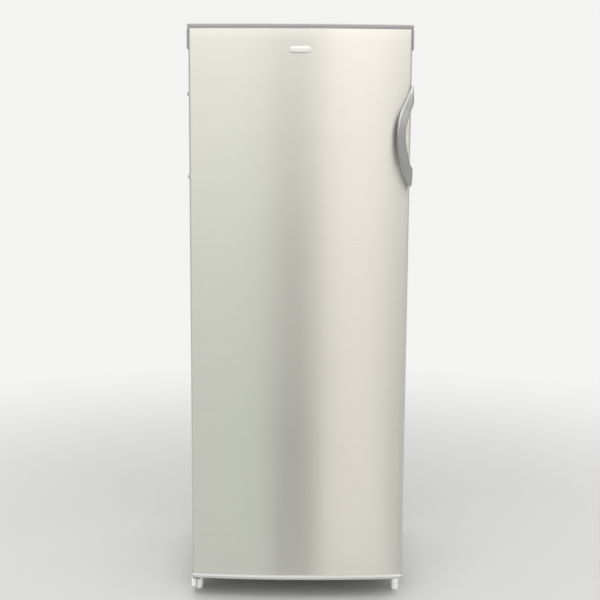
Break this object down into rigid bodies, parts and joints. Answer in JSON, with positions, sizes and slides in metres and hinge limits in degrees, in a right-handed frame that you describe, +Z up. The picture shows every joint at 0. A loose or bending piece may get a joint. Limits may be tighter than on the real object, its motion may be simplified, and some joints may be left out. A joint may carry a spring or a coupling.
{
  "type": "upright freezer",
  "caption": "Upright freezer with a bowed brushed-steel door hung at the left, a crescent side handle, drawers and a top flap inside, and a condenser on the back.",
  "frame": {"origin": "on the floor under the middle of the whole object's box", "axes": "+Z up, the door faces -Y, the hinges are at -X and the handle at +X"},
  "size_m": [0.545, 0.6364, 1.448],
  "materials": {
    "stainless": "horizontal brushing",
    "cap_grey": "fine moulded grain",
    "handle_grey": "satin gloss",
    "white_paint": "smooth off-white paint",
    "white_plastic": "moulded",
    "liner_white": "vacuum-formed, smooth",
    "drawer_plastic": "clear to frosted",
    "zinc_steel": "zinc plated",
    "plain_plate": "satin, no marking",
    "seal_rubber": "soft, matte",
    "black_rubber": "matte",
    "black_paint": "satin black",
    "black_plastic": "moulded",
    "copper": "drawn copper tube",
    "coated_tube": "white coated tube",
    "foam": "foamed in place"
  },
  "bodies": {
    "cabinet": {"outer_wrap": "white_paint", "back_panel": "white_paint", "cabinet_foam": "foam", "inner_liner": "liner_white", "worktop": "white_plastic", "top_hinge_bracket": "zinc_steel", "top_hinge_pin": "zinc_steel", "top_hinge_screw_1": "zinc_steel", "top_hinge_screw_2": "zinc_steel", "hinge_cover": "white_plastic", "bottom_hinge_bracket": "white_paint", "bottom_hinge_pin": "zinc_steel", "bottom_hinge_screw_1": "zinc_steel", "bottom_hinge_screw_2": "zinc_steel", "base_frame": "zinc_steel", "roller_axle_left": "zinc_steel", "roller_axle_right": "zinc_steel", "compressor": "black_paint", "compressor_grommet_front_left": "black_rubber", "compressor_grommet_front_right": "black_rubber", "compressor_grommet_rear_left": "black_rubber", "compressor_grommet_rear_right": "black_rubber", "relay_box": "black_plastic", "cord_gland": "black_plastic", "condenser": "black_paint", "rear_spacer_left": "black_plastic", "rear_spacer_right": "black_plastic", "condenser_clip": "black_plastic", "discharge_line": "copper", "filter_drier": "copper", "suction_line": "copper", "evaporator_shelf_1": "coated_tube", "evaporator_shelf_2": "coated_tube", "evaporator_shelf_3": "coated_tube", "evaporator_shelf_4": "coated_tube", "thermostat_housing": "white_plastic"},
    "door": {"door_skin": "stainless", "door_liner": "liner_white", "door_foam": "foam", "door_top_cap": "cap_grey", "door_bottom_cap": "cap_grey", "top_hinge_bush": "white_plastic", "bottom_hinge_bush": "white_plastic", "door_seal": "seal_rubber", "badge_plate": "plain_plate", "door_handle": "handle_grey", "handle_screw_lower": "zinc_steel", "handle_screw_upper": "zinc_steel", "side_plug_lower": "cap_grey", "side_plug_upper": "cap_grey"},
    "drawer_1": {"drawer_1": "drawer_plastic"},
    "drawer_2": {"drawer_2": "drawer_plastic"},
    "drawer_3": {"drawer_3": "drawer_plastic"},
    "drawer_4": {"drawer_4": "drawer_plastic"},
    "flap": {"freezer_flap": "drawer_plastic"},
    "knob": {"thermostat_knob": "white_plastic"},
    "foot_left": {"front_foot_left": "white_plastic"},
    "foot_right": {"front_foot_right": "white_plastic"},
    "roller_left": {"rear_roller_left": "black_plastic"},
    "roller_right": {"rear_roller_right": "black_plastic"}
  },
  "joints": [
    {"name": "door_hinge", "type": "hinge", "parent": "cabinet", "child": "door", "pos_m": [-0.258, -0.24215, 0.74], "axis": [0, 0, -1], "range_deg": [0, 135]},
    {"name": "drawer_1_slide", "type": "slide", "parent": "cabinet", "child": "drawer_1", "axis": [0, -1, 0], "range_m": [0, 0.2003]},
    {"name": "drawer_2_slide", "type": "slide", "parent": "cabinet", "child": "drawer_2", "axis": [0, -1, 0], "range_m": [0, 0.2003]},
    {"name": "drawer_3_slide", "type": "slide", "parent": "cabinet", "child": "drawer_3", "axis": [0, -1, 0], "range_m": [0, 0.2003]},
    {"name": "drawer_4_slide", "type": "slide", "parent": "cabinet", "child": "drawer_4", "axis": [0, -1, 0], "range_m": [0, 0.2003]},
    {"name": "flap_hinge", "type": "hinge", "parent": "cabinet", "child": "flap", "pos_m": [0, -0.16815, 1.355], "axis": [-1, 0, 0], "range_deg": [0, 83.71]},
    {"name": "knob_turn", "type": "hinge", "parent": "cabinet", "child": "knob", "pos_m": [0.12, -0.14715, 1.3607], "axis": [0, -1, 0], "range_deg": [0, 270]},
    {"name": "foot_left_screw", "type": "hinge", "parent": "cabinet", "child": "foot_left", "pos_m": [-0.2575, -0.19715, 0.02], "axis": [0, 0, 1], "range_deg": [-360, 360]},
    {"name": "foot_right_screw", "type": "hinge", "parent": "cabinet", "child": "foot_right", "pos_m": [0.2575, -0.19715, 0.02], "axis": [0, 0, 1], "range_deg": [-360, 360]},
    {"name": "roller_left_turn", "type": "hinge", "parent": "cabinet", "child": "roller_left", "pos_m": [-0.241, 0.26285, 0.015], "axis": [1, 0, 0], "continuous": true},
    {"name": "roller_right_turn", "type": "hinge", "parent": "cabinet", "child": "roller_right", "pos_m": [0.241, 0.26285, 0.015], "axis": [1, 0, 0], "continuous": true}
  ],
  "couplings": [
    {"joint": "drawer_1_slide", "follows": "door_hinge", "m_per_rad": 0.085},
    {"joint": "drawer_2_slide", "follows": "door_hinge", "m_per_rad": 0.085},
    {"joint": "drawer_3_slide", "follows": "door_hinge", "m_per_rad": 0.085},
    {"joint": "drawer_4_slide", "follows": "door_hinge", "m_per_rad": 0.085},
    {"joint": "flap_hinge", "follows": "door_hinge", "ratio": 0.62}
  ]
}
